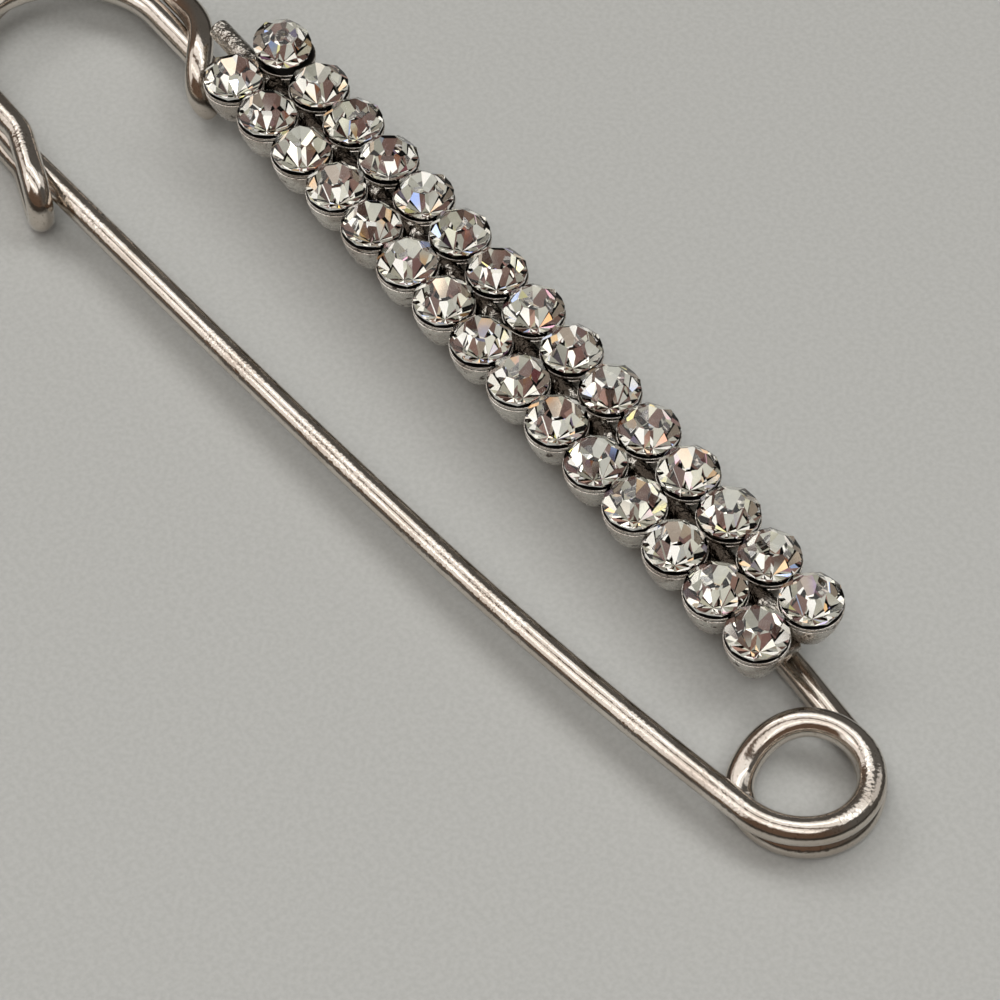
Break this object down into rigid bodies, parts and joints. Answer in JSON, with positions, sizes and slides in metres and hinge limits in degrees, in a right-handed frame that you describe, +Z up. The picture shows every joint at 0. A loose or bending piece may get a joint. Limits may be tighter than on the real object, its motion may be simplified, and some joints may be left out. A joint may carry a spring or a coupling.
{
  "type": "safety pin brooch",
  "caption": "Safety pin brooch whose coiled wire ends in a wrapped hook catch, with a bar of small round crystals in metal cups on its back wire. The pin springs inward.",
  "frame": {"origin": "middle of the brooch's outline on the surface that it lies on", "axes": "+X from the wrapped head to the coil, +Y from the pin to the crystal bar, +Z up out of the crystals' tables"},
  "size_m": [0.0906, 0.022, 0.0089],
  "materials": {
    "plated_wire": "polished plating with fine pits",
    "crystal": "cut, foil-backed"
  },
  "bodies": {
    "frame": {"frame": "plated_wire", "crystal_l01": "crystal", "crystal_l02": "crystal", "crystal_l03": "crystal", "crystal_l04": "crystal", "crystal_l05": "crystal", "crystal_l06": "crystal", "crystal_l07": "crystal", "crystal_l08": "crystal", "crystal_l09": "crystal", "crystal_l10": "crystal", "crystal_l11": "crystal", "crystal_l12": "crystal", "crystal_l13": "crystal", "crystal_l14": "crystal", "crystal_l15": "crystal", "crystal_r01": "crystal", "crystal_r02": "crystal", "crystal_r03": "crystal", "crystal_r04": "crystal", "crystal_r05": "crystal", "crystal_r06": "crystal", "crystal_r07": "crystal", "crystal_r08": "crystal", "crystal_r09": "crystal", "crystal_r10": "crystal", "crystal_r11": "crystal", "crystal_r12": "crystal", "crystal_r13": "crystal", "crystal_r14": "crystal", "crystal_r15": "crystal"},
    "pin": {"pin_arm": "plated_wire"}
  },
  "joints": [
    {"name": "pin_spring", "type": "hinge", "parent": "frame", "child": "pin", "pos_m": [0.04054, 0.00195, 0.00183], "axis": [0, 0, -1], "range_deg": [0, 8], "stiffness_Nm_per_rad": 0.02}
  ]
}
